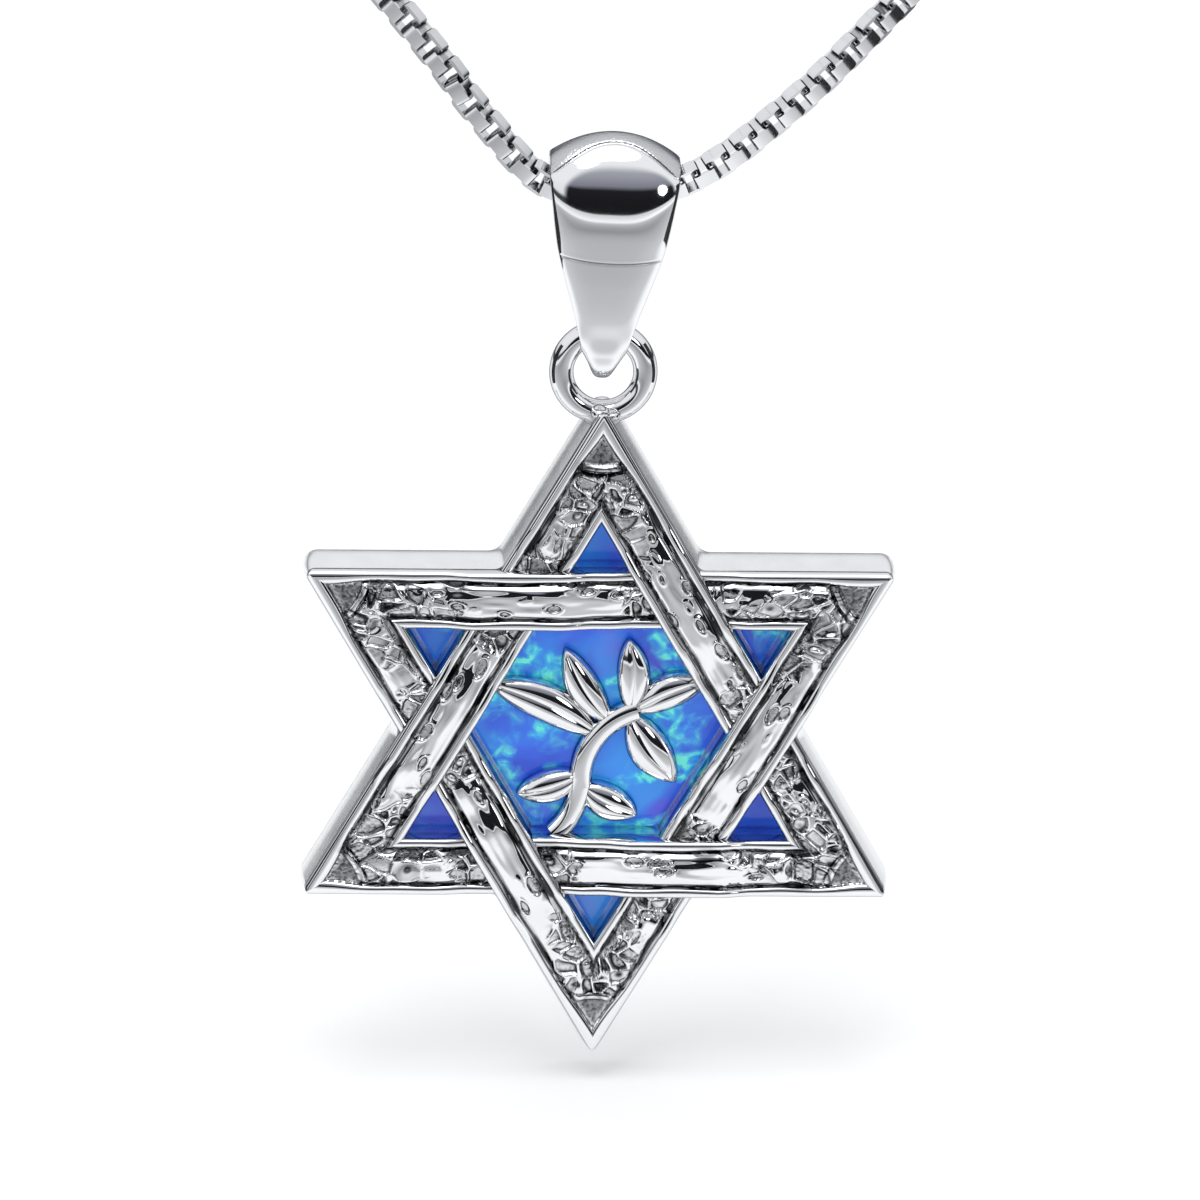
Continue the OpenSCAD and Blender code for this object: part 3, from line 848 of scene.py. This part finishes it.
def bail():
    """A closed band round the chain above and the ring below."""
    rows = bail_stations()
    n = len(rows)
    bm = bmesh.new()
    bmesh.ops.create_grid(bm, x_segments=n * BAIL_ALONG, y_segments=BAIL_ACROSS, size=1)
    sunk = bm.verts.layers.float.new("sunk")
    painted_shade = bm.verts.layers.float.new("painted_shade")
    for vert in bm.verts:
        # Round the section: along the outside, over one edge, back along the inside, over the other
        side = math.cos((vert.co.y + 1) * math.pi)
        level = max(0.0, 1 - abs(side) ** EDGE_POWERS[0]) ** EDGE_POWERS[1]
        level = math.copysign(level, -vert.co.y)
        # The rows of the grid bend with the arch of the collar and the sag of the fold
        row = (vert.co.x + 1) / 2 * n
        rise = COLLAR_ARCH * plateau(row, CREASE_AT, COLLAR_AT, COLLAR_AT, COLLAR_END)
        sag = CREASE_SAG * plateau(row, CREASE_AT - 2, CREASE_AT, CREASE_AT, CREASE_AT + 2)
        place = row + (rise - sag) * (1 - side ** 2)
        edge_y, edge_z, half, crown_y, crown_z, wall = smooth_row(rows, place)
        before = smooth_row(rows, place - 0.08)
        after = smooth_row(rows, place + 0.08)
        power = lerp(FRONT_POWER, DOME_POWER, plateau(place, *DOME_AT))
        crown = 1 - abs(side) ** power
        run = Vector((lerp(after[0] - before[0], after[3] - before[3], crown),
                      lerp(after[1] - before[1], after[4] - before[4], crown))).normalized()
        normal = Vector((-run.y, run.x))
        thick = lerp(BAIL_EDGE, wall, crown)
        mid = Vector((edge_y, edge_z)).lerp(Vector((crown_y, crown_z)) - normal * wall / 2, crown)
        stand = level * thick / 2
        if level >= 0:
            raised = smoothstep(CREASE_AT - 0.05, CREASE_AT + 1.0, row)
            raised -= smoothstep(COLLAR_AT - 0.16, COLLAR_AT + 0.10, row)
            groove = bell(row, COLLAR_AT + 0.18, 0.09) + 0.5 * bell(row, CREASE_AT - 0.06, 0.05)
            stand += (BULGE * raised - GROOVE * groove) * (1 - side ** 8)
            # The collar is satin, rougher and also darker; its darker tone is partly painted shade
            vert[sunk] = COLLAR_SATIN_AND_SHADE * plateau(row, COLLAR_AT + 0.05, COLLAR_AT + 0.3, *SATIN_END)
            # Painted shade: a dark line along the fold at CREASE_AT
            vert[painted_shade] = CREASE_SHADE * bell(row, CREASE_AT - 0.06, 0.06) * (1 - side ** 8)
        vert.co = (side * half, mid.x + normal.x * stand, mid.y + normal.y * stand)
    bmesh.ops.remove_doubles(bm, verts=bm.verts, dist=0.0005)
    bmesh.ops.recalc_face_normals(bm, faces=bm.faces)
    finish_piece("bail_band", bm, BAIL_PLACE, BAR_METAL, "bail", ["bail"],
                 flat_angle=75)


# The chain


ROUTE_RIGHT = [
    (0, -112, -115.6), (2.9, -111.9, -115), (6.2, -111.4, -112.9), (11.4, -110, -108.3),
    (26, -104, -94), (42, -92, -73), (56, -74, -49), (64, -52, -27),
    (60, -28, -12), (42, -10, -4), (20, -2, -1), (6, 0, 0)]
ROUTE_LEFT = [
    (0, -112, -115.6), (-2.9, -111.9, -114.9), (-5.6, -111.4, -112), (-8.5, -110.4, -108.3),
    (-22, -104, -93), (-40, -92, -73), (-56, -74, -49), (-64, -52, -27),
    (-60, -28, -12), (-42, -10, -4), (-20, -2, -1), (-6, 0, 0)]
LINK_PITCH = 0.70
LINK_LONG = 1.1
LINK_WALL = 0.20
LINK_STRIP = 0.64
LINK_ROUND = 0.2
FINE_STEPS = 60


def even_places(route, other):
    """Places a link's pitch apart along a side of the route, with the way it runs there."""
    rows = [other[1]] + route + [(-route[-1][0], 0, 0)]
    fine = []
    for step in range((len(route) - 1) * FINE_STEPS):
        fine.append(Vector(smooth_row(rows, 1 + step / FINE_STEPS, closed=False)))
    fine.append(Vector(route[-1]))
    lengths = [0.0]
    for a, b in zip(fine, fine[1:]):
        lengths.append(lengths[-1] + (b - a).length)
    count = int((lengths[-1] - LINK_PITCH / 2) / LINK_PITCH)
    places, j = [], 0
    for i in range(count + 1):
        want = LINK_PITCH * (i + 0.5)
        while j < len(lengths) - 2 and lengths[j + 1] < want:
            j += 1
        t = (want - lengths[j]) / (lengths[j + 1] - lengths[j])
        places.append((fine[j].lerp(fine[j + 1], t), (fine[j + 1] - fine[j]).normalized()))
    return places


def link_shape():
    """A short strip bent into a square loop, open on two sides."""
    bm = bmesh.new()
    bmesh.ops.create_grid(bm, x_segments=1, y_segments=1, size=0.5)
    bmesh.ops.scale(bm, vec=(LINK_LONG, CHAIN_W, 1), verts=bm.verts)
    hole = bm.faces[:]
    bmesh.ops.inset_individual(bm, faces=hole, thickness=LINK_WALL)
    bmesh.ops.delete(bm, geom=hole, context="FACES_ONLY")
    top = bmesh.ops.extrude_face_region(bm, geom=bm.faces[:])["geom"]
    for vert in (g for g in top if isinstance(g, bmesh.types.BMVert)):
        vert.co.z = LINK_STRIP
    bmesh.ops.translate(bm, vec=(0, 0, -LINK_STRIP / 2), verts=bm.verts)
    bmesh.ops.recalc_face_normals(bm, faces=bm.faces)
    corners = [e for e in bm.edges if abs(e.verts[0].co.z - e.verts[1].co.z) > 0.1
               and abs(e.verts[0].co.x) > LINK_LONG / 2 - 0.01]
    bmesh.ops.bevel(bm, geom=corners, affect="EDGES", offset=LINK_ROUND, segments=2, profile=0.5,
                    material=-1)
    return bm


def chain(name, route, other, node_name, faces):
    """Links along a side of the route, each turned a quarter from the last."""
    shape = link_shape()
    mesh = bpy.data.meshes.new("link")
    shape.to_mesh(mesh)
    shape.free()
    bm = bmesh.new()
    for i, (place, run) in enumerate(even_places(route, other)):
        across = run.cross(Vector(faces)).normalized()
        up = across.cross(run)
        lie = Matrix((run, across, up)).transposed().to_4x4() @ turn(90 * (i % 2), "X")
        start = len(bm.verts)
        bm.from_mesh(mesh)
        bm.verts.ensure_lookup_table()
        bmesh.ops.transform(bm, matrix=Matrix.Translation(place) @ lie, verts=bm.verts[start:])
    bpy.data.meshes.remove(mesh)
    finish_piece(name, bm, Matrix.Identity(4), CHAIN_METAL, "chain", [node_name],
                 flat_angle=30)


for k in range(6):
    bar(k)
star_block()
sprig()
ring()
bail()
chain("links_right", ROUTE_RIGHT, ROUTE_LEFT, "chain_right", (0.15, -1, -0.42))
chain("links_left", ROUTE_LEFT, ROUTE_RIGHT, "chain_left", (-0.1, -1, -0.38))

for name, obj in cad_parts.items():
    if name == "opal_centre":
        obj.data.materials[0] = OPAL_CENTRE
    elif name.startswith("opal_point"):
        obj.data.materials[0] = OPAL_POINT
    elif name == "clasp":
        obj.data.materials[0] = BRIGHT_METAL


# Floor, light and camera


STAR_MID = STAR_PLACE.translation * MM
FLOOR_Z = STAR_MID.z - (STAR_R - TIP_R) * MM - 0.0014
FLOOR_ACROSS = 12

# Cards: sizes in metres, and how far ahead of the star's middle and above the floor they stand
FLOOR_CARD = (0.68, 0.40)
FLOOR_CARD_AHEAD = 0.218
FLOOR_CARD_UP = 0.0002
FLOOR_CARD_SPOT = 0.08
SPOT_REACH = (0.32, 0.04)
AHEAD_REACH = (0.018, 0.13)
SIDE_CARD = (0.042, 0.055)
SIDE_CARD_X = 0.058
SIDE_CARD_AHEAD = 0.004
SIDE_CARD_UP = 0.0285
PAPER_ROUGHNESS = 0.9

LIGHTS = {  # place across, then ahead of and above the star's middle, size and power
    "top_light": ((-0.03, 0.14, 0.62), (0.42, 0.5), 1.60),
    "right_light": ((0.32, 0.44, 0.20), (0.14, 0.16), 0.20),
    "front_light": ((-0.07, 0.36, 0.50), (0.16, 0.10), 0.08),
}

# The camera's angles in degrees, its distance in metres and its lens in millimetres
CAMERA_UP = 18.3
CAMERA_ROUND = -1.8
CAMERA_FAR = 0.4
CAMERA_LENS = 289.9
# How far from the star's middle it aims, in metres
AIM_RIGHT = 0.00013
AIM_UP = 0.0052


def staged(name, bm, material):
    """Makes a shape a part of the stage."""
    mesh = bpy.data.meshes.new(name)
    bm.to_mesh(mesh)
    bm.free()
    mesh.materials.append(material)
    made = bpy.data.objects.new(name, mesh)
    bpy.context.collection.objects.link(made)
    return made


def staged_card(name, bm, material):
    """A card that stands outside the picture, seen only in reflections."""
    card = staged(name, bm, material)
    card.visible_camera = False
    card.visible_diffuse = False
    card.visible_shadow = False


def sheet(across, deep):
    """A flat sheet in the middle of the world."""
    bm = bmesh.new()
    bmesh.ops.create_grid(bm, x_segments=1, y_segments=1, size=0.5)
    bmesh.ops.scale(bm, vec=(across, deep, 1), verts=bm.verts)
    return bm


def paper(name, scale, dull, bright):
    """A matt material that drifts between two near tones."""
    mat, tree, shader = new_material(name)
    mottle(tree, shader, object_noise(tree, scale), dull, bright)
    shader.inputs["Roughness"].default_value = PAPER_ROUGHNESS
    return mat


def studio():
    """The plain pale floor."""
    bm = sheet(FLOOR_ACROSS, FLOOR_ACROSS)
    bmesh.ops.translate(bm, vec=(0, 0, FLOOR_Z), verts=bm.verts)
    staged("floor", bm, paper("pale_floor", 8.0, (0.935, 0.935, 0.93), (0.945, 0.945, 0.94)))


def floor_card():
    """A card that lies ahead of the pendant, dark in its middle and as pale as the floor at its rim."""
    bm = sheet(*FLOOR_CARD)
    middle = (0, STAR_MID.y - FLOOR_CARD_AHEAD, FLOOR_Z + FLOOR_CARD_UP)
    bmesh.ops.translate(bm, vec=middle, verts=bm.verts)
    mat, tree, shader = new_material("floor_card")
    place = node(tree, "ShaderNodeTexCoord")
    spot = node(tree, "ShaderNodeVectorMath", operation="DISTANCE")
    spot.inputs[1].default_value = (0, STAR_MID.y - FLOOR_CARD_SPOT, FLOOR_Z)
    tree.links.new(place.outputs["Object"], spot.inputs[0])
    near = fade(tree, spot.outputs["Value"], *SPOT_REACH, "SMOOTHSTEP")
    split = node(tree, "ShaderNodeSeparateXYZ")
    tree.links.new(place.outputs["Object"], split.inputs["Vector"])
    ahead = fade(tree, split.outputs["Y"], *(STAR_MID.y - reach for reach in AHEAD_REACH))
    tone = ramp(tree, product(tree, near, ahead), [
        (0.0, (0.94, 0.94, 0.935)), (0.05, (0.86, 0.86, 0.86)), (0.14, (0.54, 0.54, 0.545)),
        (0.35, (0.43, 0.43, 0.435)), (1.0, (0.24, 0.24, 0.245))])
    tree.links.new(tone, shader.inputs["Base Color"])
    shader.inputs["Roughness"].default_value = PAPER_ROUGHNESS
    staged_card("floor_card", bm, mat)


def dark_card(name, x):
    """A black card on the floor beside the pendant, outside the picture, for round edges to mirror."""
    bm = sheet(*SIDE_CARD)
    place = move(x, STAR_MID.y - SIDE_CARD_AHEAD, FLOOR_Z + SIDE_CARD_UP)
    bmesh.ops.transform(bm, matrix=place @ turn(90, "Z") @ turn(90, "X"), verts=bm.verts)
    staged_card(name, bm, paper(name, 60.0, (0.012, 0.012, 0.013), (0.03, 0.03, 0.032)))


def softbox(name, across, ahead, above, size, power):
    """An oval lamp that faces the star."""
    light = bpy.data.lights.new(name, "AREA")
    light.shape = "ELLIPSE"
    light.size, light.size_y = size
    light.energy = power
    holder = bpy.data.objects.new(name, light)
    holder.location = (across, STAR_MID.y - ahead, STAR_MID.z + above)
    holder.rotation_euler = (STAR_MID - holder.location).to_track_quat("-Z", "Y").to_euler()
    bpy.context.collection.objects.link(holder)


def sky():
    """The room: pale walls at the sides, a bright ceiling, and a dark part behind the viewer."""
    world = bpy.data.worlds.new("studio")
    world.use_nodes = True
    tree = world.node_tree
    place = node(tree, "ShaderNodeTexCoord")
    swing = node(tree, "ShaderNodeMapping")
    swing.inputs["Rotation"].default_value = (0, 0, math.radians(-14))
    tree.links.new(place.outputs["Generated"], swing.inputs["Vector"])
    split = node(tree, "ShaderNodeSeparateXYZ")
    tree.links.new(swing.outputs["Vector"], split.inputs["Vector"])
    front = fade(tree, split.outputs["Y"], -0.60, -0.74, "SMOOTHSTEP")
    height = fade(tree, split.outputs["Z"], -1.0, 1.0)
    dark = ramp(tree, height, [
        (0.0, (0.4, 0.4, 0.4)), (0.46, (0.10, 0.10, 0.105)), (0.50, (0.010, 0.010, 0.012)),
        (0.67, (0.015, 0.015, 0.018)), (0.71, (0.22, 0.23, 0.27)), (0.83, (0.38, 0.39, 0.44)),
        (0.88, (0.66, 0.67, 0.70)), (1.0, (0.90, 0.91, 0.93))])
    pale = ramp(tree, height, [
        (0.0, (0.5, 0.5, 0.5)), (0.50, (0.05, 0.05, 0.055)), (0.545, (0.06, 0.06, 0.065)),
        (0.58, (0.82, 0.84, 0.87)), (0.75, (0.92, 0.93, 0.95)), (1.0, (0.92, 0.93, 0.95))])
    room = blend_colours(tree, front, pale, dark)
    seen = node(tree, "ShaderNodeLightPath")
    backdrop = blend_colours(tree, seen.outputs["Is Camera Ray"], room, (0.93, 0.94, 0.95))
    tree.links.new(backdrop, tree.nodes["Background"].inputs["Color"])
    tree.nodes["Background"].inputs["Strength"].default_value = 1.0
    bpy.context.scene.world = world


def camera():
    elevation, azimuth = math.radians(CAMERA_UP), math.radians(CAMERA_ROUND)
    level = math.cos(elevation)
    back = Vector((math.sin(azimuth) * level, -math.cos(azimuth) * level, math.sin(elevation)))
    right = Vector((math.cos(azimuth), math.sin(azimuth), 0))
    aim = STAR_MID + right * AIM_RIGHT + back.cross(right) * AIM_UP
    lens = bpy.data.cameras.new("camera")
    lens.lens = CAMERA_LENS
    lens.sensor_width = 36
    lens.clip_start, lens.clip_end = 0.01, 20
    holder = bpy.data.objects.new("camera", lens)
    holder.location = aim + back * CAMERA_FAR
    holder.rotation_euler = back.to_track_quat("Z", "Y").to_euler()
    bpy.context.collection.objects.link(holder)
    bpy.context.scene.camera = holder


studio()
floor_card()
sky()
dark_card("card_right", SIDE_CARD_X)
dark_card("card_left", -SIDE_CARD_X)
for name, (place, size, power) in LIGHTS.items():
    softbox(name, *place, size, power)
camera()
bpy.context.scene.view_settings.view_transform = "Standard"

bpy.context.view_layer.update()
